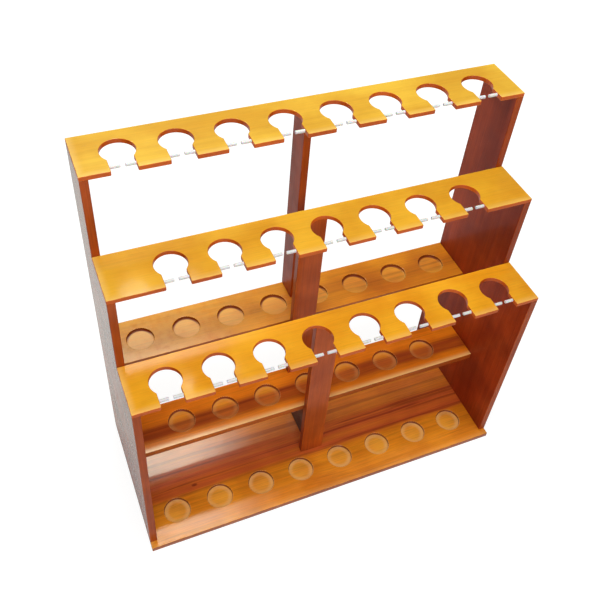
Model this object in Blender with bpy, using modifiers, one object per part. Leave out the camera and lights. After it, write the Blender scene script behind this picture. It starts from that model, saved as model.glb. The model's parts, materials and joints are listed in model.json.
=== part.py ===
"""A three-tier wooden stand for long sticks.

Twelve boards make the stand: a base, two stepped side panels, two shelves, three thin rails with
keyhole slots, three centre posts and a support under the middle shelf. A stick is pushed through a
slot's mouth into its round hole and rests in the recess below. A pair of short soft tubes, one on each
wall of the mouth, holds it there, and each tube swings about an upright axis at its own wall.

Units are metres. +X is right, the front faces -Y and +Z is up. The origin is on the floor, under the
middle of the stand's outer box. Depths are measured back from the front edge of the side panels.
"""
from math import acos, cos, pi, radians, sin

import bmesh
import bpy

# Boards
WIDTH = 0.660
BOARD = 0.012                            # panels, shelves, posts and support
BASE_THICKNESS = 0.010
RAIL_THICKNESS = 0.007
BASE_LIP = 0.012                         # how far the base reaches in front of the panels
GAP = 0.0003                             # between pieces that touch

# The three tiers, front to back
TIERS = ("front", "mid", "top")
TIER_DEPTH = 0.086
RAIL_TOPS = (0.385, 0.523, 0.660)
FLOOR_TOPS = (BASE_THICKNESS, 0.1445, 0.279)
SLOT_COUNTS = (8, 7, 8)
SLOT_PITCH = 0.0776
DEPTH = TIER_DEPTH * len(TIERS)

# Keyhole slots and the recesses under them
HOLE_RADIUS = 0.0237
HOLE_SETBACK = 0.0415                    # hole centre, back from its tier's front edge
MOUTH_WIDTH = 0.0345
MOUTH_CORNER = 0.0015                    # rounding where the mouth meets the front edge
RECESS_RADIUS = 0.0224
RECESS_DEPTH = 0.0045
HOLE_SEGMENTS = 36
CORNER_SEGMENTS = 3

# Centre posts and the support
POST_WIDTH = 0.042
POST_SETBACK = 0.073                     # front face of a front or mid post, in its tier
POST_SHIFT = -0.0045                     # the front and mid posts stand left of the middle
TOP_POST_DEPTH = 0.040

# Retainer tubes
TUBE_RADIUS = 0.0025
TUBE_REACH = 0.014                       # from the mouth's wall to the tube's tip
TUBE_SETBACK = 0.013                     # tube axis, back from the rail's front edge
TUBE_TIP_ROUND = 0.0005
TUBE_SEGMENTS = 10
TUBE_ROOT_RINGS = 3

WELD = 0.00001
OVERSHOOT = 0.002                        # how far a cutter runs past the face it opens
FRONT_Y = -(DEPTH - BASE_LIP) / 2        # front edge of the side panels

# Base colour (linear RGB) and roughness of each kind of piece
RAIL_FINISH = ((0.80, 0.36, 0.045), 0.28)
SHELF_FINISH = ((0.62, 0.21, 0.030), 0.30)
UPRIGHT_FINISH = ((0.30, 0.060, 0.018), 0.32)
TUBE_FINISH = ((0.86, 0.83, 0.78), 0.40)


def clear_scene():
    for thing in list(bpy.data.objects):
        bpy.data.objects.remove(thing, do_unlink=True)


def make_collection(name):
    collection = bpy.data.collections.new(name)
    bpy.context.scene.collection.children.link(collection)
    return collection


def make_material(name, finish):
    colour, roughness = finish
    material = bpy.data.materials.new(name)
    material.use_nodes = True
    shader = material.node_tree.nodes["Principled BSDF"]
    shader.inputs["Base Color"].default_value = (*colour, 1.0)
    shader.inputs["Roughness"].default_value = roughness
    shader.inputs["Metallic"].default_value = 0.0
    return material


def add_object(name, mesh, collection):
    thing = bpy.data.objects.new(name, mesh)
    collection.objects.link(thing)
    return thing


def paint(thing, finish):
    """Gives an object its own material. The slot is on the object, so a shared mesh is no obstacle."""
    if not thing.data.materials:
        thing.data.materials.append(None)
    thing.material_slots[0].link = 'OBJECT'
    thing.material_slots[0].material = make_material(thing.name, finish)


def make_cutter(thing):
    thing.hide_render = True
    thing.display_type = 'WIRE'
    return thing


def cut(target, cutter):
    difference = target.modifiers.new(cutter.name, 'BOOLEAN')
    difference.operation = 'DIFFERENCE'
    difference.solver = 'EXACT'
    difference.object = cutter


def depth_to_y(depth):
    return FRONT_Y + depth


def rail_bottom(tier):
    return RAIL_TOPS[tier] - RAIL_THICKNESS


def floor_of(tier):
    """Height of the surface that a tier's sticks and post stand on."""
    return FLOOR_TOPS[tier]


def slot_centres(tier):
    """X of each slot in a tier, spread evenly about the middle."""
    count = SLOT_COUNTS[tier]
    return [(index - (count - 1) / 2) * SLOT_PITCH for index in range(count)]


def hole_y(tier):
    return depth_to_y(tier * TIER_DEPTH + HOLE_SETBACK)


def arc(centre_x, centre_y, radius, start, end, segments):
    """Points along an arc, both ends included. Angles are in radians."""
    step = (end - start) / segments
    angles = [start + index * step for index in range(segments + 1)]
    return [(centre_x + radius * cos(a), centre_y + radius * sin(a)) for a in angles]


def box(name, x_range, y_range, z_range, collection):
    """A plain board between the given planes, with its origin at its centre."""
    ranges = (x_range, y_range, z_range)
    size = [high - low for low, high in ranges]
    shape = bmesh.new()
    bmesh.ops.create_cube(shape, size=1.0)
    bmesh.ops.scale(shape, vec=size, verts=shape.verts)
    mesh = bpy.data.meshes.new(name)
    shape.to_mesh(mesh)
    shape.free()
    board = add_object(name, mesh, collection)
    board.location = [(low + high) / 2 for low, high in ranges]
    return board


def plate(name, outlines, thickness, location, rotation, collection):
    """A flat piece from closed outlines, with its origin in the middle of its thickness."""
    curve = bpy.data.curves.new(name + "_outline", 'CURVE')
    curve.dimensions = '2D'
    curve.fill_mode = 'BOTH'
    curve.extrude = thickness / 2
    for outline in outlines:
        spline = curve.splines.new('POLY')
        spline.points.add(len(outline) - 1)
        for point, (x, y) in zip(spline.points, outline):
            point.co = (x, y, 0.0, 1.0)
        spline.use_cyclic_u = True
    flat = add_object(name + "_outline", curve, collection)
    flat.location = location
    flat.rotation_euler = rotation
    bpy.context.view_layer.update()
    evaluated = flat.evaluated_get(bpy.context.evaluated_depsgraph_get())
    mesh = bpy.data.meshes.new_from_object(evaluated)
    shape = bmesh.new()
    shape.from_mesh(mesh)
    bmesh.ops.remove_doubles(shape, verts=shape.verts, dist=WELD)
    shape.to_mesh(mesh)
    shape.free()
    mesh.name = name
    body = add_object(name, mesh, collection)
    body.matrix_world = flat.matrix_world
    bpy.data.objects.remove(flat, do_unlink=True)
    return body


def keyhole(centre_x, centre_y, front_y):
    """A round hole whose mouth runs out past the front edge, with the mouth's two corners rounded."""
    half = MOUTH_WIDTH / 2
    neck = acos(half / HOLE_RADIUS)
    hole = arc(centre_x, centre_y, HOLE_RADIUS, -neck, pi + neck, HOLE_SEGMENTS)
    left = arc(centre_x - half - MOUTH_CORNER, front_y + MOUTH_CORNER, MOUTH_CORNER,
               0.0, -pi / 2, CORNER_SEGMENTS)
    right = arc(centre_x + half + MOUTH_CORNER, front_y + MOUTH_CORNER, MOUTH_CORNER,
                -pi / 2, -pi, CORNER_SEGMENTS)
    outside = [(left[-1][0], front_y - OVERSHOOT), (right[0][0], front_y - OVERSHOOT)]
    return hole + left + outside + right


def add_rail(tier, parts, cutters):
    name = TIERS[tier] + "_rail"
    front = depth_to_y(tier * TIER_DEPTH)
    last = tier == len(TIERS) - 1
    back = front + TIER_DEPTH - (0.0 if last else GAP)
    bottom, top = rail_bottom(tier), RAIL_TOPS[tier]
    rail = box(name, (-WIDTH / 2, WIDTH / 2), (front, back), (bottom, top), parts)
    holes = [keyhole(x, hole_y(tier), front) for x in slot_centres(tier)]
    middle = (0.0, 0.0, (bottom + top) / 2)
    slots = plate(name + "_slots", holes, RAIL_THICKNESS + 2 * OVERSHOOT, middle, (0, 0, 0), cutters)
    cut(rail, make_cutter(slots))
    paint(rail, RAIL_FINISH)


def add_recesses(board, tier, cutters):
    """Cuts the shallow round recesses that a tier's sticks stand in."""
    height = RECESS_DEPTH + OVERSHOOT
    shape = bmesh.new()
    for x in slot_centres(tier):
        made = bmesh.ops.create_cone(shape, cap_ends=True, segments=HOLE_SEGMENTS, depth=height,
                                     radius1=RECESS_RADIUS, radius2=RECESS_RADIUS)
        bmesh.ops.translate(shape, vec=(x, 0.0, 0.0), verts=made["verts"])
    mesh = bpy.data.meshes.new(board.name + "_recesses")
    shape.to_mesh(mesh)
    shape.free()
    recesses = add_object(mesh.name, mesh, cutters)
    recesses.location = (0.0, hole_y(tier), floor_of(tier) - RECESS_DEPTH + height / 2)
    cut(board, make_cutter(recesses))


def add_base(parts, cutters):
    y_range = (depth_to_y(-BASE_LIP), depth_to_y(DEPTH))
    base = box("base", (-WIDTH / 2, WIDTH / 2), y_range, (0.0, BASE_THICKNESS), parts)
    add_recesses(base, 0, cutters)
    paint(base, SHELF_FINISH)


def add_shelf(name, tier, parts, cutters):
    """A shelf between the panels. Its front edge meets the post of the tier in front."""
    end = WIDTH / 2 - BOARD - GAP
    front = depth_to_y((tier - 1) * TIER_DEPTH + POST_SETBACK + BOARD + GAP)
    back = depth_to_y((tier + 1) * TIER_DEPTH)
    top = floor_of(tier)
    shelf = box(name, (-end, end), (front, back), (top - BOARD, top), parts)
    add_recesses(shelf, tier, cutters)
    paint(shelf, SHELF_FINISH)


def add_side_panel(name, side, parts):
    """A stepped panel. Each step carries the end of one rail."""
    foot = BASE_THICKNESS + GAP
    outline = [(0.0, foot)]
    for tier in range(len(TIERS)):
        step_top = rail_bottom(tier) - GAP
        outline += [(tier * TIER_DEPTH, step_top), ((tier + 1) * TIER_DEPTH, step_top)]
    outline.append((DEPTH, foot))
    place = (side * (WIDTH - BOARD) / 2, FRONT_Y, 0.0)
    panel = plate(name, [outline], BOARD, place, (pi / 2, 0.0, pi / 2), parts)
    paint(panel, UPRIGHT_FINISH)


def add_posts(parts):
    """The front and mid posts face the front. The top post is turned edge-on, between two holes."""
    for tier in (0, 1):
        front = depth_to_y(tier * TIER_DEPTH + POST_SETBACK)
        x_range = (POST_SHIFT - POST_WIDTH / 2, POST_SHIFT + POST_WIDTH / 2)
        z_range = (floor_of(tier) + GAP, rail_bottom(tier) - GAP)
        post = box(TIERS[tier] + "_post", x_range, (front, front + BOARD), z_range, parts)
        paint(post, UPRIGHT_FINISH)
    back = depth_to_y(DEPTH)
    z_range = (floor_of(2) + GAP, rail_bottom(2) - GAP)
    post = box("top_post", (-BOARD / 2, BOARD / 2), (back - TOP_POST_DEPTH, back), z_range, parts)
    paint(post, UPRIGHT_FINISH)


def add_shelf_support(parts):
    """A board on edge that carries the middle shelf, directly behind the front post."""
    x_range = (POST_SHIFT - BOARD / 2, POST_SHIFT + BOARD / 2)
    y_range = (depth_to_y(POST_SETBACK + BOARD + GAP), depth_to_y(2 * TIER_DEPTH))
    z_range = (BASE_THICKNESS + GAP, floor_of(1) - BOARD - GAP)
    support = box("mid_shelf_support", x_range, y_range, z_range, parts)
    paint(support, UPRIGHT_FINISH)


def tube_mesh(collection):
    """One retainer tube along +Z, turned about its axis, with its ball root centred on the origin."""
    tip = TUBE_REACH - TUBE_RADIUS - GAP
    profile = [(0.0, tip), (TUBE_RADIUS - TUBE_TIP_ROUND, tip), (TUBE_RADIUS, tip - TUBE_TIP_ROUND)]
    profile += arc(0.0, 0.0, TUBE_RADIUS, 0.0, -pi / 2, TUBE_ROOT_RINGS)
    mesh = bpy.data.meshes.new("tube_profile")
    edges = [(index, index + 1) for index in range(len(profile) - 1)]
    mesh.from_pydata([(x, 0.0, z) for x, z in profile], edges, [])
    turned = add_object("tube_profile", mesh, collection)
    screw = turned.modifiers.new("turn", 'SCREW')
    screw.axis = 'Z'
    screw.steps = TUBE_SEGMENTS
    screw.render_steps = TUBE_SEGMENTS
    screw.use_merge_vertices = True
    screw.merge_threshold = WELD
    bpy.context.view_layer.update()
    evaluated = turned.evaluated_get(bpy.context.evaluated_depsgraph_get())
    tube = bpy.data.meshes.new_from_object(evaluated)
    tube.name = "retainer_tube"
    bpy.data.objects.remove(turned, do_unlink=True)
    tube.shade_smooth()
    tube.set_sharp_from_angle(angle=radians(40))
    return tube


def add_tubes(parts):
    """A pair of tubes across each mouth. Each object's origin is on its swing axis."""
    mesh = tube_mesh(parts)
    pivot_offset = MOUTH_WIDTH / 2 - TUBE_RADIUS - GAP
    for tier, tier_name in enumerate(TIERS):
        y = depth_to_y(tier * TIER_DEPTH + TUBE_SETBACK)
        z = rail_bottom(tier) + RAIL_THICKNESS / 2
        for number, x in enumerate(slot_centres(tier), start=1):
            for side, direction in (("left", -1), ("right", 1)):
                tube = add_object(f"{tier_name}_tube_{number}_{side}", mesh, parts)
                tube.location = (x + direction * pivot_offset, y, z)
                tube.rotation_euler = (0.0, -direction * pi / 2, 0.0)
                paint(tube, TUBE_FINISH)


def build():
    clear_scene()
    parts = make_collection("stick_stand")
    cutters = make_collection("cutters")
    add_base(parts, cutters)
    add_side_panel("side_panel_left", -1, parts)
    add_side_panel("side_panel_right", 1, parts)
    add_shelf("mid_shelf", 1, parts, cutters)
    add_shelf("upper_shelf", 2, parts, cutters)
    for tier in range(len(TIERS)):
        add_rail(tier, parts, cutters)
    add_posts(parts)
    add_shelf_support(parts)
    add_tubes(parts)


build()
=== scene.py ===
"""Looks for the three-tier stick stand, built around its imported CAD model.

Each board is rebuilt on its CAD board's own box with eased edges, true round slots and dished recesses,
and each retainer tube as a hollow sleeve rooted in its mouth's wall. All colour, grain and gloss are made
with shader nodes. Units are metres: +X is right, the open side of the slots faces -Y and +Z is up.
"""
import json
from math import acos, cos, hypot, pi, radians, sin

import bmesh
import bpy
from mathutils import Matrix, Quaternion, Vector


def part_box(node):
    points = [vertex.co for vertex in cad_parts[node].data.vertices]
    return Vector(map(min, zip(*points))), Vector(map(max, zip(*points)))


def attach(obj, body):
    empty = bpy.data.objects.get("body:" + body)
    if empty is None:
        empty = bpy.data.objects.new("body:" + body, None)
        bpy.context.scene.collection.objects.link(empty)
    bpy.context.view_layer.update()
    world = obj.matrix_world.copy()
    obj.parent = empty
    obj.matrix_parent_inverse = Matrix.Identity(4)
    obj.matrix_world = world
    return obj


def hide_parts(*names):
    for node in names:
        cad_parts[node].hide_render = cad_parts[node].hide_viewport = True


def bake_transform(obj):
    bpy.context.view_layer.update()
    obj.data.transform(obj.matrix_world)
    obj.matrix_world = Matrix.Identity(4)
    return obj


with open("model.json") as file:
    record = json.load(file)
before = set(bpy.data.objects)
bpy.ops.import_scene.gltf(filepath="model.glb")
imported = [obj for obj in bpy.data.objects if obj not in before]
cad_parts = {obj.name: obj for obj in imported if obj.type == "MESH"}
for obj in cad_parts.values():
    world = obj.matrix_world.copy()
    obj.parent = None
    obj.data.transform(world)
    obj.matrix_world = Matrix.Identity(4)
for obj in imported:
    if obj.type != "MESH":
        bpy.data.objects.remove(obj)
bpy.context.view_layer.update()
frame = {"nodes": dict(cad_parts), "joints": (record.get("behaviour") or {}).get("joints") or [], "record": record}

TIERS = ("front", "mid", "top")

# Shapes
RAIL_EASE = 0.0009                       # rounding of a rail's edges
BOARD_EASE = 0.0011                      # rounding of a thicker board's edges
EASE_SEGMENTS = 3
EASE_ANGLE = radians(32)                 # edges that turn more than this are rounded
MOUTH_CORNER = 0.0015                    # rounding where a mouth meets the front edge, seen from above
HOLE_SEGMENTS = 72
CORNER_SEGMENTS = 6
RECESS_FILLET = 0.0012                   # where a recess's wall turns into its floor
FILLET_SEGMENTS = 5
OVERSHOOT = 0.002                        # how far a cutter runs past the face it opens
WELD = 0.00001

TUBE_BORE = 0.0013                       # inner radius of a retainer tube
TUBE_RIM = 0.0005                        # rounding of a tube's open end
TUBE_RIM_SEGMENTS = 3
TUBE_ROOT = 0.0030                       # length hidden in the rail
TUBE_RINGS = 14
TUBE_SEGMENTS = 24
TUBE_SHARP = radians(50)                 # edges of a tube that turn more than this are shaded sharp

# The finish of each kind of board, with its colours in linear RGB. light and dark are the wood of its
# faces, and edge_light and edge_dark the wood of its narrow edges. bands is how strong the growth bands
# are, and coat how much gloss lacquer lies on top. The painted highlight is how far the colour pales close
# to the front edge and the left end, where the light catches the board, and pale, a painted sheen, how far
# it pales along the whole board towards its left end, where a light's reflection lies. The heartwood and
# shade streaks are darker streaks along the grain in their own colour, partly heartwood and partly painted
# shade where a shelf's shadow bands fall, each given by its middle's Y, half its width and its strength,
# and knot is a small knot's X and Y. In the recesses, ring is how far the floor pales towards its rim, the
# painted wall shadow how wide the wall's shade is on the floor behind, and rim_tint the colour that the
# rim and the painted sheen pale to.
RAIL_EDGES = dict(edge_light=(0.72, 0.135, 0.010), edge_dark=(0.56, 0.085, 0.007))
FINISHES = {
    "front_rail": dict(light=(0.97, 0.49, 0.024), dark=(0.91, 0.33, 0.009),
                       bands=0.3, coat=0.3, painted_highlight=0.3, **RAIL_EDGES),
    "mid_rail": dict(light=(0.86, 0.47, 0.032), dark=(0.80, 0.33, 0.014),
                     bands=0.3, coat=0.3, painted_highlight=0.25, **RAIL_EDGES),
    "top_rail": dict(light=(0.77, 0.47, 0.046), dark=(0.71, 0.34, 0.024),
                     bands=0.3, coat=0.35, painted_highlight=0.25, **RAIL_EDGES),
    "mid_shelf": dict(light=(1.00, 0.31, 0.014), dark=(0.88, 0.220, 0.009),
                      edge_light=(0.55, 0.120, 0.010), edge_dark=(0.36, 0.060, 0.006),
                      bands=0.7, coat=0.75, painted_highlight=0.7, ring=0.35, wall_shadow=0.0020,
                      heart_and_shade=(0.44, 0.075, 0.018), heart_and_shade_streaks=((-0.003, 0.014, 1.0),)),
    "upper_shelf": dict(light=(0.84, 0.31, 0.015), dark=(0.68, 0.180, 0.010),
                        edge_light=(0.55, 0.140, 0.012), edge_dark=(0.38, 0.075, 0.008),
                        bands=0.7, coat=0.6, pale=0.55, ring=0.1, wall_shadow=0.0045,
                        rim_tint=(1.00, 0.60, 0.13),
                        heart_and_shade=(0.56, 0.130, 0.012), heart_and_shade_streaks=((0.090, 0.010, 0.5),)),
    "base": dict(light=(0.86, 0.31, 0.015), dark=(0.72, 0.205, 0.010),
                 edge_light=(0.50, 0.120, 0.010), edge_dark=(0.32, 0.060, 0.006),
                 bands=0.9, coat=0.75, painted_highlight=0.15, ring=0.8, wall_shadow=0.0010, knot=(-0.230, -0.046),
                 heart_and_shade=(0.60, 0.108, 0.026), heart_and_shade_streaks=((-0.030, 0.027, 1.0), (0.060, 0.070, 0.5))),
    "post": dict(light=(0.60, 0.115, 0.014), dark=(0.42, 0.065, 0.009),
                 edge_light=(0.42, 0.065, 0.010), edge_dark=(0.30, 0.040, 0.007),
                 bands=0.8, coat=0.25),
    # The support's colours are painted shade: it stands in the shadow under the mid shelf
    "shaded": dict(light=(0.12, 0.020, 0.008), dark=(0.06, 0.010, 0.005),
                   edge_light=(0.12, 0.020, 0.008), edge_dark=(0.06, 0.010, 0.005),
                   bands=0.8, coat=0.0),
    "upright": dict(light=(0.43, 0.055, 0.010), dark=(0.245, 0.025, 0.006),
                    edge_light=(0.50, 0.088, 0.010), edge_dark=(0.37, 0.054, 0.007),
                    bands=0.9, coat=0.18),
}
FINISH_OF_NODE = {"front_post": "post", "mid_post": "post", "mid_shelf_support": "shaded"}

# Scales of the wood's noises. A pair is the scale along the grain and the one across it.
WANDER_SCALE = (2.2, 9.0)                # how the grain wanders off its line
BAND_SCALE = (1.1, 52.0)                 # growth bands
BROAD_SCALE = (2.4, 16.0)                # broad bands under them
FIBRE_SCALE = (16.0, 620.0)
STREAK_SCALE = (0.9, 130.0)              # thin lines of late wood
PORE_SCALE = (70.0, 1500.0)
WAVER_SCALE = (5.0, 30.0)                # the outline of the heartwood
CLOUD_SCALE = 11.0                       # stain clouds
RUB_SCALE = 55.0                         # patches of worn lacquer
SAG_SCALE = 70.0                         # unevenness of the lacquer
SMUDGE_SCALE = 24.0                      # changes in gloss
WANDER = 0.022
WAVER = 0.014
HEART_AND_SHADE_SOFTNESS = 0.007                   # half the width over which a heartwood and painted shade streak fades
WEAR_REACH = (0.0004, 0.0022)            # most worn this near to an edge, and not worn past this
PORES = (0.66, 0.78)                     # the span of the pore noise that is drawn as pores

LATE_TINT = (0.17, 0.016, 0.005)
KNOT_TINT = (0.16, 0.022, 0.006)
KNOT_SIZE = (0.0052, 0.0026)             # its half length and half width
RUBBED_GAIN = (1.25, 1.6, 1.9)           # how much brighter worn edges are than the light wood
# Painted highlight near a board's front edge and left end: its tint and how far it reaches
PAINTED_HIGHLIGHT_TINT = (1.00, 0.72, 0.30)
PAINTED_HIGHLIGHT_REACH = 0.012
RIM_TINT = (1.00, 0.62, 0.24)            # rubbed wood and painted highlight along the front of a recess's rim
RIM_REACH = 0.0021
RECESS_GAIN = (1.25, 1.5, 2.6)           # how much brighter a recess's floor is than the board
RECESS_HEART_AND_SHADE_GAIN = (1.5, 2.0, 1.4)      # the same for its heartwood and painted shade streaks
PAINTED_WALL_SHADOW_TINT = (0.30, 0.050, 0.008)         # painted shadow of the wall on the floor behind it
WALL_SHADE = 0.70                        # how bright a recess's wall is against the board's edge, darkened as painted shade

SPECULAR = 0.1                           # of the wood under its lacquer
COAT_ROUGHNESS = 0.13
RECESS_COAT = 0.8
RECESS_COAT_ROUGHNESS = 0.32
OUTER_COAT = 0.85                        # the panels' outer sides are polished more than their insides
OUTER_COAT_ROUGHNESS = 0.18

TUBE_MARK_SCALE = (60.0, 1800.0)         # drawing marks along a tube
TUBE_HAZE_SCALE = 420.0
TUBE_DARK = (0.88, 0.87, 0.86)
TUBE_LIGHT = (0.95, 0.94, 0.93)

record = frame["record"]
joint_of_body = {joint["child"]: joint for joint in frame["joints"]}


# ---------------------------------------------------------------- measuring the frame

def axes_of(tier):
    """Where each of a tier's sticks stands: the middle of its opening, left to right."""
    boxes = [o["box_m"] for o in record["physics"]["openings"] if o["name"].startswith(tier + "_")]
    centres = [Vector(((low[0] + high[0]) / 2, (low[1] + high[1]) / 2)) for low, high in boxes]
    return sorted(centres, key=lambda centre: centre.x)


def ring_around(node, centre):
    """Radius and lowest height of a CAD node's vertices nearest to an upright axis."""
    points = [vertex.co for vertex in frame["nodes"][node].data.vertices]
    reaches = [hypot(p.x - centre.x, p.y - centre.y) for p in points]
    radius = min(reaches)
    floor = min(p.z for p, reach in zip(points, reaches) if reach < radius + WELD)
    return radius, floor


def mouth_half_width(node, centre):
    """Half the width of the mouth below a slot, from the CAD rail's vertices near its front edge."""
    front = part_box(node)[0].y
    near = [v.co for v in frame["nodes"][node].data.vertices if v.co.y < front + 2 * MOUTH_CORNER]
    return min(abs(p.x - centre.x) for p in near)


# ---------------------------------------------------------------- mesh helpers

def add_object(name, shape):
    """Turns a bmesh into a new object of that name, and frees the bmesh."""
    mesh = bpy.data.meshes.new(name)
    shape.to_mesh(mesh)
    shape.free()
    thing = bpy.data.objects.new(name, mesh)
    bpy.context.scene.collection.objects.link(thing)
    return thing


def arc(centre_x, centre_y, radius, start, end, segments):
    """Points along an arc, both ends included. Angles are in radians."""
    step = (end - start) / segments
    angles = [start + index * step for index in range(segments + 1)]
    return [(centre_x + radius * cos(a), centre_y + radius * sin(a)) for a in angles]


def rectangle(low, high):
    """The outline, seen from above, of the box between two corners."""
    return [(low.x, low.y), (high.x, low.y), (high.x, high.y), (low.x, high.y)]


def slab(name, outline, axis, low, high):
    """A board whose closed outline is drawn out along an axis ('X' or 'Z') from low to high."""
    shape = bmesh.new()
    if axis == 'Z':
        corners = [shape.verts.new((a, b, low)) for a, b in outline]
        along = Vector((0.0, 0.0, 1.0))
    else:
        corners = [shape.verts.new((low, a, b)) for a, b in outline]
        along = Vector((1.0, 0.0, 0.0))
    face = shape.faces.new(corners)
    made = bmesh.ops.extrude_face_region(shape, geom=[face])["geom"]
    moved = [item for item in made if isinstance(item, bmesh.types.BMVert)]
    bmesh.ops.translate(shape, vec=along * (high - low), verts=moved)
    bmesh.ops.recalc_face_normals(shape, faces=shape.faces)
    for face in shape.faces:
        face.material_index = EDGE if abs(face.normal.dot(along)) < 0.5 else FACE
    return add_object(name, shape)


def turned(profile, segments):
    """A bmesh of a profile of (radius, height) points, turned about +Z."""
    shape = bmesh.new()
    points = [shape.verts.new((radius, 0.0, height)) for radius, height in profile]
    edges = [shape.edges.new(pair) for pair in zip(points, points[1:])]
    bmesh.ops.spin(shape, geom=points + edges, cent=(0, 0, 0), axis=(0, 0, 1),
                   angle=2 * pi, steps=segments, use_merge=True)
    bmesh.ops.remove_doubles(shape, verts=shape.verts, dist=WELD)
    bmesh.ops.recalc_face_normals(shape, faces=shape.faces)
    return shape


def freeze(thing):
    """Replaces an object's mesh by what its modifiers make of it."""
    bpy.context.view_layer.update()
    evaluated = thing.evaluated_get(bpy.context.evaluated_depsgraph_get())
    mesh = bpy.data.meshes.new_from_object(evaluated)
    mesh.name = thing.name
    thing.modifiers.clear()
    thing.data = mesh


def ease_edges(thing, width, edge_slot=-1):
    """Rounds every edge of a board and shades it smooth, with flat faces that stay flat.

    The rounding takes its material from edge_slot, or from the faces beside it if that is -1.
    """
    thing.data.shade_smooth()
    bevel = thing.modifiers.new("ease", 'BEVEL')
    bevel.width = width
    bevel.segments = EASE_SEGMENTS
    bevel.limit_method = 'ANGLE'
    bevel.angle_limit = EASE_ANGLE
    bevel.use_clamp_overlap = False
    bevel.material = edge_slot
    weigh = thing.modifiers.new("flat_faces", 'WEIGHTED_NORMAL')
    weigh.mode = 'FACE_AREA'
    freeze(thing)


# ---------------------------------------------------------------- shader helpers

# Material slots of a board. EXTRA is a shelf's recess floors or a side panel's outer side.
FACE, EDGE, EXTRA, WALL = 0, 1, 2, 3


class Nodes:
    """Short calls that add a node and wire its inputs. A value is a number, a tuple or a socket."""

    def __init__(self, tree, fresh=True):
        self.tree = tree
        if fresh:
            tree.nodes.clear()

    def add(self, kind, settings=None, **inputs):
        node = self.tree.nodes.new(kind)
        for key, value in (settings or {}).items():
            setattr(node, key, value)
        for key, value in inputs.items():
            self.set(node, key.replace("_", " "), value)
        return node

    def set(self, node, key, value):
        socket = node.inputs[int(key)] if key.isdigit() else node.inputs[key]
        if isinstance(value, bpy.types.NodeSocket):
            self.tree.links.new(value, socket)
        elif isinstance(value, tuple) and len(value) == 3 and socket.type == 'RGBA':
            socket.default_value = (*value, 1.0)
        else:
            socket.default_value = value

    def math(self, operation, a, b=0.0, clamp=False):
        node = self.add("ShaderNodeMath", {"operation": operation, "use_clamp": clamp})
        self.set(node, "0", a)
        self.set(node, "1", b)
        return node.outputs[0]

    def vector(self, operation, a, b=(0.0, 0.0, 0.0)):
        node = self.add("ShaderNodeVectorMath", {"operation": operation})
        self.set(node, "0", a)
        self.set(node, "1", b)
        return node.outputs["Value" if operation == 'LENGTH' else "Vector"]

    def noise(self, vector, scale, detail=2.0, roughness=0.5):
        node = self.add("ShaderNodeTexNoise", Vector=vector, Scale=scale, Detail=detail,
                        Roughness=roughness)
        return node.outputs["Fac"]

    def grain_noise(self, vector, scale, **settings):
        """Noise with one scale along the vector's X and another across it."""
        along, across = scale
        return self.noise(self.vector('MULTIPLY', vector, (along, across, across)), 1.0, **settings)

    def spread(self, value, low, high, to_low=0.0, to_high=1.0):
        """Maps low..high to to_low..to_high by a smooth step, held at both ends. low may exceed high."""
        node = self.add("ShaderNodeMapRange", {"interpolation_type": 'SMOOTHSTEP'}, Value=value,
                        From_Min=low, From_Max=high, To_Min=to_low, To_Max=to_high)
        return node.outputs["Result"]

    def mix(self, factor, a, b, blend='MIX'):
        node = self.add("ShaderNodeMix", {"data_type": 'RGBA', "blend_type": blend})
        self.set(node, "0", factor)
        self.set(node, "6", a)
        self.set(node, "7", b)
        return node.outputs[2]


def first_node(tree, kind):
    return next(node for node in tree.nodes if node.type == kind)


# The wood group's sockets, each with its kind and, for some, its value when nothing is given
WOOD_INPUTS = (
    ("Grain", "Vector", None), ("Place", "Vector", None), ("Centre", "Vector", None),
    ("Half Size", "Vector", None), ("Light", "Color", None), ("Dark", "Color", None),
    ("Heartwood", "Color", None), ("Heart", "Float", 0.0), ("Knot", "Float", 0.0),
    ("Rim", "Float", 0.0), ("Rim Tint", "Color", None), ("Bands", "Float", 1.0), ("Glow", "Float", 0.0),
)
WOOD_OUTPUTS = (
    ("Colour", "Color"), ("Roughness", "Float"), ("Normal", "Vector"), ("Lacquer", "Vector"),
    ("Gloss", "Float"),
)


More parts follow.
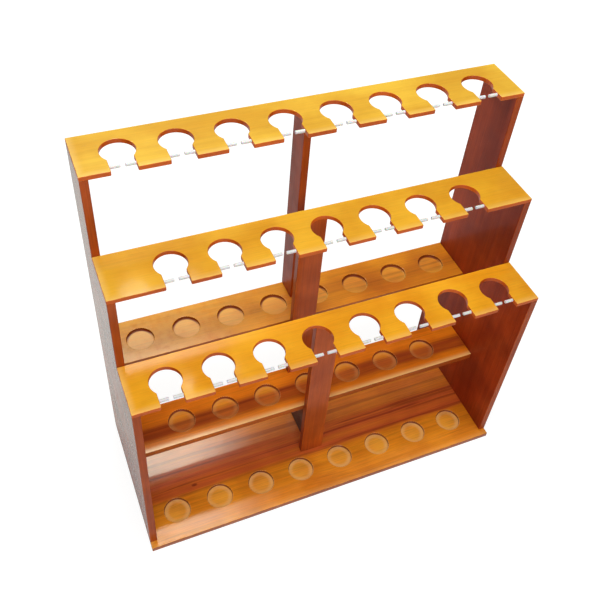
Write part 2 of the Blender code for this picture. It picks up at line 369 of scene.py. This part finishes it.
def make_wood_group():
    """Grain along the input vector's X: growth bands, fibres, pores, stain clouds and worn edges.

    Place is the point on the board, and Centre and Half Size give the board's box. Its masks, each from 0 to
    1, are the heartwood and painted shade streaks, the knot, the rim (partly rubbed wood, partly painted
    highlight and sheen) and the painted highlight.
    """
    tree = bpy.data.node_groups.new("lacquered_wood", 'ShaderNodeTree')
    for name, kind, value in WOOD_INPUTS:
        socket = tree.interface.new_socket(name=name, in_out='INPUT', socket_type="NodeSocket" + kind)
        if value is not None:
            socket.default_value = value
    for name, kind in WOOD_OUTPUTS:
        tree.interface.new_socket(name=name, in_out='OUTPUT', socket_type="NodeSocket" + kind)
    n = Nodes(tree)
    given = n.add("NodeGroupInput").outputs
    result = n.add("NodeGroupOutput")

    # The grain's own noises, in a space that wanders a little off the board's length
    wander = n.grain_noise(given["Grain"], WANDER_SCALE, detail=2.0)
    wander = n.math('MULTIPLY', n.math('SUBTRACT', wander, 0.5), WANDER)
    shift = n.add("ShaderNodeCombineXYZ", Y=wander, Z=wander).outputs[0]
    grain = n.vector('ADD', given["Grain"], shift)
    bands = n.grain_noise(grain, BAND_SCALE, detail=5.0, roughness=0.62)
    broad = n.grain_noise(grain, BROAD_SCALE, detail=2.0)
    fibres = n.grain_noise(grain, FIBRE_SCALE, detail=3.0, roughness=0.65)
    streaks = n.grain_noise(grain, STREAK_SCALE, detail=3.0)
    pores = n.grain_noise(grain, PORE_SCALE, detail=1.0)
    clouds = n.noise(given["Place"], CLOUD_SCALE, detail=3.0)

    # Light and dark bands under the stain clouds, then heartwood and painted shade streaks, late wood and the knot
    fine = n.math('MULTIPLY', n.spread(bands, 0.33, 0.67), 0.6)
    band = n.math('ADD', fine, n.math('MULTIPLY', n.spread(broad, 0.3, 0.7), 0.4))
    band = n.math('MULTIPLY', n.math('SUBTRACT', band, 0.5), given["Bands"])
    stain = n.spread(clouds, 0.3, 0.7, -0.3, 0.3)
    band = n.math('ADD', n.math('ADD', band, 0.5), stain, clamp=True)
    colour = n.mix(band, given["Dark"], given["Light"])
    # Darker streaks along the grain, partly heartwood and partly painted shade where a shelf's shadow bands fall
    heart_and_shade = n.math('MULTIPLY', given["Heart"], n.spread(bands, 0.70, 0.35, 0.65, 1.0))
    colour = n.mix(heart_and_shade, colour, given["Heartwood"])
    strength = n.math('ADD', n.math('MULTIPLY', heart_and_shade, 0.45), 0.18)
    late = n.math('MULTIPLY', n.spread(streaks, 0.52, 0.66), strength)
    colour = n.mix(n.math('MULTIPLY', late, given["Bands"]), colour, LATE_TINT)
    colour = n.mix(n.math('MULTIPLY', given["Knot"], 0.75), colour, KNOT_TINT)

    # Fibres, clouds and pores make it a little lighter or darker
    strength = n.math('ADD', given["Bands"], 0.1)
    fibre = n.math('MULTIPLY', n.spread(fibres, 0.25, 0.75, -0.14, 0.12), strength)
    shade = n.math('ADD', n.math('ADD', fibre, 1.0), n.spread(clouds, 0.3, 0.7, -0.07, 0.07))
    shade = n.math('SUBTRACT', shade, n.spread(pores, *PORES, 0.0, 0.16))
    grey = n.add("ShaderNodeCombineColor", Red=shade, Green=shade, Blue=shade).outputs[0]
    colour = n.mix(1.0, colour, grey, blend='MULTIPLY')

    # How near a point on the board's surface is to the nearest edge of its box, where the stain is worn
    offset = n.vector('ABSOLUTE', n.vector('SUBTRACT', given["Place"], given["Centre"]))
    gaps = n.vector('SUBTRACT', given["Half Size"], offset)
    gaps = n.add("ShaderNodeSeparateXYZ", Vector=gaps).outputs
    inner = n.math('MINIMUM', n.math('MAXIMUM', gaps[0], gaps[1]), gaps[2])
    reach = n.math('MAXIMUM', n.math('MINIMUM', gaps[0], gaps[1]), inner)
    rub = n.noise(given["Place"], RUB_SCALE, detail=4.0, roughness=0.7)
    worn = n.spread(reach, WEAR_REACH[1], WEAR_REACH[0])
    worn = n.math('MULTIPLY', worn, n.spread(rub, 0.42, 0.66, 0.0, 0.6))
    colour = n.mix(worn, colour, n.vector('MULTIPLY', given["Light"], RUBBED_GAIN))
    # Painted highlight: paler towards the front edge and the left end, where the light catches the board
    colour = n.mix(given["Glow"], colour, PAINTED_HIGHLIGHT_TINT)
    # Paler rim round the recesses, partly rubbed wood and partly painted highlight; the same mix carries a shelf's
    # painted sheen towards its left end and the recess floor's pale ring
    rim = n.math('MULTIPLY', given["Rim"], n.spread(rub, 0.3, 0.6, 0.35, 0.8))
    colour = n.mix(rim, colour, given["Rim Tint"])

    # Relief of the wood, and the lacquer's own relief, which follows it only in part
    height = n.math('ADD', n.math('MULTIPLY', fibres, 0.6), n.math('MULTIPLY', bands, 0.8))
    height = n.math('SUBTRACT', height, n.spread(pores, *PORES, 0.0, 0.8))
    bump = n.add("ShaderNodeBump", Strength=0.35, Distance=0.00030, Height=height)
    sag = n.math('MULTIPLY', n.noise(given["Place"], SAG_SCALE, detail=1.0), 0.5)
    sag = n.math('ADD', sag, n.math('MULTIPLY', height, 0.22))
    lacquer = n.add("ShaderNodeBump", Strength=0.25, Distance=0.00045, Height=sag)
    smudge = n.noise(given["Place"], SMUDGE_SCALE, detail=4.0, roughness=0.6)
    roughness = n.math('ADD', n.spread(smudge, 0.3, 0.7, 0.34, 0.46), n.math('MULTIPLY', worn, 0.3))
    n.set(result, "Colour", colour)
    n.set(result, "Roughness", roughness)
    n.set(result, "Normal", bump.outputs[0])
    n.set(result, "Lacquer", lacquer.outputs[0])
    n.set(result, "Gloss", n.spread(heart_and_shade, 0.45, 0.85, 1.0, 0.25))
    return tree


WOOD = make_wood_group()
GRAIN_TURNS = {'X': (0.0, 0.0, 0.0), 'Z': (0.0, pi / 2, 0.0)}


def heart_and_shade_mask(n, place, heart_and_shade_streaks):
    """1 in the board's darker streaks, partly heartwood and partly painted shade, and 0 outside them, with
    wavering soft edges.
    """
    waver = n.grain_noise(place, WAVER_SCALE, detail=2.0)
    waver = n.math('MULTIPLY', n.math('SUBTRACT', waver, 0.5), WAVER)
    depth = n.math('ADD', n.add("ShaderNodeSeparateXYZ", Vector=place).outputs[1], waver)
    mask = 0.0
    for middle, half, strength in heart_and_shade_streaks:
        away = n.math('ABSOLUTE', n.math('SUBTRACT', depth, middle))
        streak = n.spread(away, half + HEART_AND_SHADE_SOFTNESS, half - HEART_AND_SHADE_SOFTNESS, 0.0, strength)
        mask = n.math('MAXIMUM', mask, streak)
    return mask


def painted_highlight_mask(n, place, low, strength):
    """A painted highlight that rises towards the board's front edge and its left end."""
    parts = n.add("ShaderNodeSeparateXYZ", Vector=place).outputs
    from_left = n.math('SUBTRACT', parts[0], low.x)
    from_front = n.math('SUBTRACT', parts[1], low.y)
    return n.spread(n.math('MINIMUM', from_left, from_front), PAINTED_HIGHLIGHT_REACH, 0.0, 0.0, strength)


def knot_mask(n, place, spot):
    """1 in the middle of a small oval knot and 0 outside it."""
    parts = n.add("ShaderNodeSeparateXYZ", Vector=place).outputs
    across = n.math('DIVIDE', n.math('SUBTRACT', parts[0], spot[0]), KNOT_SIZE[0])
    behind = n.math('DIVIDE', n.math('SUBTRACT', parts[1], spot[1]), KNOT_SIZE[1])
    squared = n.math('ADD', n.math('MULTIPLY', across, across), n.math('MULTIPLY', behind, behind))
    return n.spread(squared, 1.6, 0.2)


def reach_from_recess(n, place, axes):
    """Distance from the nearest recess's axis, and how far behind that axis a point lies."""
    pitch = (axes[-1].x - axes[0].x) / (len(axes) - 1)
    parts = n.add("ShaderNodeSeparateXYZ", Vector=place).outputs
    turns = n.math('DIVIDE', n.math('SUBTRACT', parts[0], axes[0].x), pitch)
    nearest = n.math('MAXIMUM', n.math('MINIMUM', n.math('ROUND', turns), len(axes) - 1.0), 0.0)
    aside = n.math('MULTIPLY', n.math('SUBTRACT', turns, nearest), pitch)
    behind = n.math('SUBTRACT', parts[1], axes[0].y)
    squared = n.math('ADD', n.math('MULTIPLY', aside, aside), n.math('MULTIPLY', behind, behind))
    return n.math('SQRT', squared), behind


def rim_mask(n, place, axes, radius):
    """1 on the edge round each recess and 0 away from it, weaker on its rear half: partly rubbed wood, partly a
    painted highlight on the front of the rim.
    """
    reach, behind = reach_from_recess(n, place, axes)
    away = n.math('ABSOLUTE', n.math('SUBTRACT', reach, radius))
    frontness = n.spread(behind, 0.6 * radius, -0.6 * radius, 0.15, 1.0)
    return n.math('MULTIPLY', n.spread(away, RIM_REACH, 0.0), frontness)


def wood_material(name, part, node, grain, finish, seed, axes=None):
    """Lacquered wood of one board's faces or edges. seed moves it to its own stretch of the grain."""
    low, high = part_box(node)
    prefix = "" if part == FACE else "edge_"
    light = finish[prefix + "light"]
    dark = finish[prefix + "dark"]
    material = bpy.data.materials.new(name)
    material.use_nodes = True
    n = Nodes(material.node_tree)
    place = n.add("ShaderNodeTexCoord").outputs["Object"]
    start = Vector((1.7, 0.53, 0.91)) * seed
    along = n.add("ShaderNodeMapping", Vector=place, Rotation=GRAIN_TURNS[grain], Location=tuple(start))
    wood = n.add("ShaderNodeGroup", {"node_tree": WOOD}, Grain=along.outputs[0], Place=place,
                 Centre=tuple((low + high) / 2), Half_Size=tuple((high - low) / 2),
                 Light=light, Dark=dark, Heartwood=finish.get("heart_and_shade", dark), Bands=finish["bands"],
                 Rim_Tint=finish.get("rim_tint", RIM_TINT))
    if part == FACE:
        # painted highlight towards the front edge and the left end
        n.set(wood, "Glow", painted_highlight_mask(n, place, low, finish.get("painted_highlight", 0.0)))
        # darker streaks, partly heartwood and partly painted shade
        n.set(wood, "Heart", heart_and_shade_mask(n, place, finish.get("heart_and_shade_streaks", ())))
        if "knot" in finish:
            n.set(wood, "Knot", knot_mask(n, place, finish["knot"]))
        if axes:
            rim = rim_mask(n, place, axes, ring_around(node, axes[0])[0])
            across = n.add("ShaderNodeSeparateXYZ", Vector=place).outputs[0]
            # painted sheen: the board pales towards its left end, where a light's reflection lies
            pale = n.spread(across, high.x / 2, low.x, 0.0, finish.get("pale", 0.0))
            n.set(wood, "Rim", n.math('MAXIMUM', rim, pale))
    shader = n.add("ShaderNodeBsdfPrincipled", Base_Color=wood.outputs["Colour"],
                   Roughness=wood.outputs["Roughness"], Normal=wood.outputs["Normal"],
                   Specular_IOR_Level=SPECULAR, Coat_Roughness=COAT_ROUGHNESS,
                   Coat_Normal=wood.outputs["Lacquer"],
                   Coat_Weight=n.math('MULTIPLY', wood.outputs["Gloss"], finish["coat"]))
    output = n.add("ShaderNodeOutputMaterial")
    n.set(output, "Surface", shader.outputs[0])
    return material


def outer_material(name, grain_material):
    """The outer side of a side panel: the same wood under a fuller, smoother polish."""
    material = grain_material.copy()
    material.name = name
    shader = first_node(material.node_tree, 'BSDF_PRINCIPLED')
    for key in ("Coat Weight", "Coat Normal"):
        material.node_tree.links.remove(shader.inputs[key].links[0])
    shader.inputs["Coat Weight"].default_value = OUTER_COAT
    shader.inputs["Coat Roughness"].default_value = OUTER_COAT_ROUGHNESS
    return material


def recess_material(name, face_material, finish, axes, radius):
    """The floor of a board's recesses: brighter, pale round the rim and darkened behind, against the wall, by a
    painted shadow.
    """
    material = face_material.copy()
    material.name = name
    tree = material.node_tree
    n = Nodes(tree, fresh=False)
    place = first_node(tree, 'TEX_COORD').outputs["Object"]
    wood = first_node(tree, 'GROUP')
    shader = first_node(tree, 'BSDF_PRINCIPLED')
    for key, gains in (("Light", RECESS_GAIN), ("Dark", RECESS_GAIN), ("Heartwood", RECESS_HEART_AND_SHADE_GAIN)):
        colour = wood.inputs[key].default_value
        brighter = [min(1.0, value * gain) for value, gain in zip(colour, gains)]
        wood.inputs[key].default_value = (*brighter, 1.0)
    reach, behind = reach_from_recess(n, place, axes)
    # painted shadow of the wall on the floor's rear, behind each recess's axis
    wall_shadow = n.spread(reach, radius - finish["wall_shadow"], radius - 0.3 * finish["wall_shadow"])
    wall_shadow = n.math('MULTIPLY', wall_shadow, n.spread(behind, -0.2 * radius, 0.6 * radius))
    ring = n.spread(reach, 0.55 * radius, 0.85 * radius, 0.0, finish["ring"])
    n.set(wood, "Rim", n.math('MAXIMUM', ring, wood.inputs["Rim"].links[0].from_socket))
    n.set(shader, "Base Color", n.mix(wall_shadow, wood.outputs["Colour"], PAINTED_WALL_SHADOW_TINT))
    tree.links.remove(shader.inputs["Coat Weight"].links[0])
    shader.inputs["Coat Weight"].default_value = RECESS_COAT
    shader.inputs["Coat Roughness"].default_value = RECESS_COAT_ROUGHNESS
    return material


def wall_material(name, edge_material):
    """The wall round each recess: darker, the board's edge wood further darkened by painted shade."""
    material = edge_material.copy()
    material.name = name
    wood = first_node(material.node_tree, 'GROUP')
    for key in ("Light", "Dark"):
        darker = [WALL_SHADE * value for value in wood.inputs[key].default_value[:3]]
        wood.inputs[key].default_value = (*darker, 1.0)
    return material


def tube_material():
    """Soft milky plastic: translucent, satin, with faint drawing marks along its length."""
    material = bpy.data.materials.new("milky_tube")
    material.use_nodes = True
    n = Nodes(material.node_tree)
    place = n.add("ShaderNodeTexCoord").outputs["Object"]
    marks = n.grain_noise(place, TUBE_MARK_SCALE, detail=2.0)
    haze = n.noise(place, TUBE_HAZE_SCALE, detail=3.0)
    colour = n.mix(n.spread(haze, 0.3, 0.7), TUBE_DARK, TUBE_LIGHT)
    bump = n.add("ShaderNodeBump", Strength=0.3, Distance=0.0001, Height=marks)
    shader = n.add("ShaderNodeBsdfPrincipled", Base_Color=colour,
                   Roughness=n.spread(marks, 0.3, 0.7, 0.22, 0.34), IOR=1.45,
                   Transmission_Weight=0.12, Subsurface_Weight=0.3, Subsurface_Scale=0.002,
                   Normal=bump.outputs[0])
    output = n.add("ShaderNodeOutputMaterial")
    n.set(output, "Surface", shader.outputs[0])
    return material


# ---------------------------------------------------------------- boards

def finish_board(board, node, grain, seed, axes=None):
    """Gives a board its face and edge wood, hangs it on its CAD node's body and hides that node."""
    finish = FINISHES[node] if node in FINISHES else FINISHES[FINISH_OF_NODE.get(node, "upright")]
    face = wood_material(node + "_face", FACE, node, grain, finish, seed, axes)
    edge = wood_material(node + "_edge", EDGE, node, grain, finish, seed)
    board.data.materials.append(face)
    board.data.materials.append(edge)
    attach(board, "stand")
    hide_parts(node)
    return face, edge


def keyhole(centre, radius, half, front):
    """One slot's stretch of a rail's front edge, from its left mouth corner round to its right one."""
    neck = acos(half / radius)
    left = arc(centre.x - half - MOUTH_CORNER, front + MOUTH_CORNER, MOUTH_CORNER, -pi / 2, 0.0,
               CORNER_SEGMENTS)
    hole = arc(centre.x, centre.y, radius, pi + neck, -neck, HOLE_SEGMENTS)
    right = arc(centre.x + half + MOUTH_CORNER, front + MOUTH_CORNER, MOUTH_CORNER, pi, 1.5 * pi,
                CORNER_SEGMENTS)
    return left + hole + right


def make_rail(tier, seed):
    node = tier + "_rail"
    low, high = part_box(node)
    outline = [(high.x, high.y), (low.x, high.y), (low.x, low.y)]
    for centre in axes_of(tier):
        radius, _ = ring_around(node, centre)
        outline += keyhole(centre, radius, mouth_half_width(node, centre), low.y)
    outline.append((high.x, low.y))
    rail = slab(node + "_board", outline, 'Z', low.z, high.z)
    ease_edges(rail, RAIL_EASE)
    finish_board(rail, node, 'X', seed)


def cut_recesses(board, node, axes):
    """Cuts the dished round recesses that a tier's sticks stand in, and marks their floors."""
    radius, floor = ring_around(node, axes[0])
    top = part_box(node)[1].z
    profile = [(0.0, floor)]
    profile += arc(radius - RECESS_FILLET, floor + RECESS_FILLET, RECESS_FILLET, -pi / 2, 0.0,
                   FILLET_SEGMENTS)
    profile += [(radius, top + OVERSHOOT), (0.0, top + OVERSHOOT)]
    cutters = bmesh.new()
    for centre in axes:
        one = turned(profile, HOLE_SEGMENTS)
        bmesh.ops.translate(one, vec=(centre.x, centre.y, 0.0), verts=one.verts)
        spare = bpy.data.meshes.new("cutter_part")
        one.to_mesh(spare)
        one.free()
        cutters.from_mesh(spare)
        bpy.data.meshes.remove(spare)
    cutter = add_object("cutter", cutters)
    cut = board.modifiers.new("recesses", 'BOOLEAN')
    cut.operation = 'DIFFERENCE'
    cut.solver = 'EXACT'
    cut.object = cutter
    freeze(board)
    bpy.data.objects.remove(cutter, do_unlink=True)
    for face in board.data.polygons:
        reach = min(hypot(face.center.x - c.x, face.center.y - c.y) for c in axes)
        if floor - WELD < face.center.z < top - WELD and reach < radius + WELD:
            face.material_index = EXTRA if face.normal.z > 0.3 else WALL


def make_shelf(node, tier, seed):
    """The base or a shelf: a plain board with its tier's recesses."""
    low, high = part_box(node)
    axes = axes_of(tier)
    board = slab(node + "_board", rectangle(low, high), 'Z', low.z, high.z)
    cut_recesses(board, node, axes)
    ease_edges(board, BOARD_EASE, FACE)
    face, edge = finish_board(board, node, 'X', seed, axes)
    radius, _ = ring_around(node, axes[0])
    board.data.materials.append(recess_material(node + "_recess", face, FINISHES[node], axes, radius))
    board.data.materials.append(wall_material(node + "_recess_wall", edge))


def make_side_panel(node, seed):
    """A stepped board. Each step reaches up to the rail that lies on it."""
    low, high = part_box(node)
    rails = [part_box(tier + "_rail") for tier in TIERS]
    fronts = [rail_low.y for rail_low, _ in rails] + [high.y]
    outline = [(fronts[0], low.z)]
    for index, (rail_low, _) in enumerate(rails):
        outline += [(fronts[index], rail_low.z), (fronts[index + 1], rail_low.z)]
    outline.append((high.y, low.z))
    panel = slab(node + "_board", outline, 'X', low.x, high.x)
    outward = 1.0 if low.x > 0.0 else -1.0
    for face in panel.data.polygons:
        if face.normal.x * outward > 0.5:
            face.material_index = EXTRA
    ease_edges(panel, BOARD_EASE)
    face, _ = finish_board(panel, node, 'Z', seed)
    panel.data.materials.append(outer_material(node + "_outer", face))


def make_upright(node, seed):
    """A post or the shelf support: a plain board on end. Its two broad sides are its faces."""
    low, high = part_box(node)
    post = slab(node + "_board", rectangle(low, high), 'Z', low.z, high.z)
    broad = 0 if high.x - low.x < high.y - low.y else 1
    for face in post.data.polygons:
        face.material_index = FACE if abs(face.normal[broad]) > 0.5 else EDGE
    ease_edges(post, BOARD_EASE)
    finish_board(post, node, 'Z', seed)


# ---------------------------------------------------------------- retainer tubes

def make_tube(body, material):
    """A hollow sleeve along its CAD tube, rooted in the mouth's wall and open at its tip."""
    low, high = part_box(body)
    pivot = Vector(joint_of_body[body]["pos_m"])
    tier = body.split("_")[0]
    centre = min(axes_of(tier), key=lambda c: abs(c.x - pivot.x))
    inward = 1.0 if pivot.x < centre.x else -1.0
    half = mouth_half_width(tier + "_rail", centre)
    wall = Vector((centre.x - inward * half, pivot.y, pivot.z))
    tip_x = high.x if inward > 0 else low.x
    radius = (high.z - low.z) / 2
    length = abs(tip_x - wall.x)
    root = -TUBE_ROOT
    rim = length - TUBE_RIM
    step = (rim - root) / TUBE_RINGS
    profile = [(0.0, root)]
    profile += [(radius, root + index * step) for index in range(TUBE_RINGS)]
    profile += arc(radius - TUBE_RIM, rim, TUBE_RIM, 0.0, pi / 2, TUBE_RIM_SEGMENTS)
    profile += arc(TUBE_BORE + TUBE_RIM, rim, TUBE_RIM, pi / 2, pi, TUBE_RIM_SEGMENTS)
    profile += [(TUBE_BORE, rim - (index + 1) * step) for index in range(TUBE_RINGS - 1)]
    profile.append((0.0, root + step))
    sleeve = add_object(body + "_sleeve", turned(profile, TUBE_SEGMENTS))
    sleeve.data.transform(Matrix.Translation(wall) @ Matrix.Rotation(inward * pi / 2, 4, 'Y'))
    sleeve.data.shade_smooth()
    sleeve.data.set_sharp_from_angle(angle=TUBE_SHARP)
    sleeve.data.materials.append(material)
    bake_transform(sleeve)
    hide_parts(body)


# ---------------------------------------------------------------- studio

TARGET = Vector((0.0, 0.0, 0.3))
# Direction from the stand, distance, size, power and tint of each soft light
LIGHTS = {
    "key_above_behind": ((0.074, 0.525, 0.848), 2.5, (1.8, 0.6), 46.0, (0.93, 1.0, 0.88)),
    "overhead": ((0.0, -0.183, 0.983), 2.3, (1.8, 0.45), 30.0, (1.0, 1.0, 1.0)),
    "fill_front": ((-0.20, -0.85, 0.50), 2.5, (2.0, 1.2), 16.0, (1.0, 1.0, 1.0)),
}
KEY_FADE = (0.55, 0.33)                  # shares of the key light's width with full and with no light
WORLD_LIGHT = 0.16
FLOOR_HALF = 15.0
FLOOR_DROP = 0.0005                      # keeps it from touching the base's underside
FLOOR_ALBEDO = 0.88                      # as the stand is lit by it
FLOOR_SEEN_ALBEDO = 0.25                 # as the camera sees it, with the lift on top
FLOOR_LIFT = (0.86, 1.0)                 # light given off near the stand and far from it
FLOOR_LIFT_REACH = (0.3, 1.5)

LENS = 47.01
SENSOR = 36.0
CAMERA_SHIFT_Y = -0.05
CAMERA_PLACE = (-0.4046, -0.7368, 1.2840)
CAMERA_AIM = Vector((-0.0085, 0.0617, 0.3808))
CAMERA_ROLL = radians(5.512)


def make_camera():
    """Looks down from the front left, rolled a little, as the photograph does."""
    data = bpy.data.cameras.new("camera")
    data.lens = LENS
    data.sensor_width = SENSOR
    data.shift_y = CAMERA_SHIFT_Y
    camera = bpy.data.objects.new("camera", data)
    bpy.context.scene.collection.objects.link(camera)
    camera.location = CAMERA_PLACE
    camera.rotation_mode = 'QUATERNION'
    level = (CAMERA_AIM - camera.location).to_track_quat('-Z', 'Y')
    camera.rotation_quaternion = level @ Quaternion((0.0, 0.0, 1.0), CAMERA_ROLL)
    bpy.context.scene.camera = camera


def add_soft_light(name, direction, distance, size, power, tint):
    """Adds an area light that faces the stand, and returns its data."""
    data = bpy.data.lights.new(name, 'AREA')
    data.shape = 'RECTANGLE'
    data.size, data.size_y = size
    data.energy = power
    data.color = tint
    light = bpy.data.objects.new(name, data)
    bpy.context.scene.collection.objects.link(light)
    light.location = TARGET + Vector(direction).normalized() * distance
    light.rotation_mode = 'QUATERNION'
    light.rotation_quaternion = (TARGET - light.location).to_track_quat('-Z', 'Y')
    light.visible_camera = False
    return data


def fade_across(data, full, none):
    """Dims a soft light along its width, from full strength at one share of it to nothing at another."""
    data.use_nodes = True
    n = Nodes(data.node_tree)
    share = n.add("ShaderNodeSeparateXYZ", Vector=n.add("ShaderNodeNewGeometry").outputs["Parametric"])
    emission = n.add("ShaderNodeEmission", Strength=n.spread(share.outputs[0], full, none, 1.0, 0.0))
    output = n.add("ShaderNodeOutputLight")
    n.set(output, "Surface", emission.outputs[0])


def make_world():
    """Dim light from all round, with white behind the stand where the camera sees past it."""
    world = bpy.data.worlds.new("studio")
    world.use_nodes = True
    bpy.context.scene.world = world
    n = Nodes(world.node_tree)
    seen = n.add("ShaderNodeLightPath").outputs["Is Camera Ray"]
    room = n.add("ShaderNodeBackground", Color=(1.0, 0.99, 0.98), Strength=WORLD_LIGHT)
    backdrop = n.add("ShaderNodeBackground", Color=(1.0, 1.0, 1.0), Strength=1.0)
    mixed = n.add("ShaderNodeMixShader")
    n.set(mixed, "0", seen)
    n.set(mixed, "1", room.outputs[0])
    n.set(mixed, "2", backdrop.outputs[0])
    output = n.add("ShaderNodeOutputWorld")
    n.set(output, "Surface", mixed.outputs[0])


def make_floor():
    """A plain pale floor, lifted towards white where the camera sees it."""
    shape = bmesh.new()
    bmesh.ops.create_grid(shape, x_segments=1, y_segments=1, size=FLOOR_HALF)
    floor = add_object("floor", shape)
    floor.location.z = -FLOOR_DROP
    material = bpy.data.materials.new("pale_floor")
    material.use_nodes = True
    n = Nodes(material.node_tree)
    seen = n.add("ShaderNodeLightPath").outputs["Is Camera Ray"]
    paper = n.add("ShaderNodeBsdfDiffuse", Color=(FLOOR_ALBEDO,) * 3)
    pale = n.add("ShaderNodeBsdfDiffuse", Color=(FLOOR_SEEN_ALBEDO,) * 3)
    away = n.vector('LENGTH', n.add("ShaderNodeTexCoord").outputs["Object"])
    lift = n.add("ShaderNodeEmission", Color=(1.0, 1.0, 1.0),
                 Strength=n.spread(away, *FLOOR_LIFT_REACH, *FLOOR_LIFT))
    lifted = n.add("ShaderNodeAddShader")
    n.set(lifted, "0", pale.outputs[0])
    n.set(lifted, "1", lift.outputs[0])
    mixed = n.add("ShaderNodeMixShader")
    n.set(mixed, "0", seen)
    n.set(mixed, "1", paper.outputs[0])
    n.set(mixed, "2", lifted.outputs[0])
    output = n.add("ShaderNodeOutputMaterial")
    n.set(output, "Surface", mixed.outputs[0])
    floor.data.materials.append(material)


# ---------------------------------------------------------------- the stand

make_shelf("base", "front", seed=1)
make_shelf("mid_shelf", "mid", seed=2)
make_shelf("upper_shelf", "top", seed=3)
for number, tier_name in enumerate(TIERS):
    make_rail(tier_name, seed=4 + number)
make_side_panel("side_panel_left", seed=7)
make_side_panel("side_panel_right", seed=8)
for number, upright in enumerate(("front_post", "mid_post", "top_post", "mid_shelf_support")):
    make_upright(upright, seed=9 + number)
milky = tube_material()
for tube_body in joint_of_body:
    make_tube(tube_body, milky)

make_floor()
make_world()
lamps = {light_name: add_soft_light(light_name, *values) for light_name, values in LIGHTS.items()}
fade_across(lamps["key_above_behind"], *KEY_FADE)
make_camera()
bpy.context.scene.view_settings.view_transform = 'Standard'
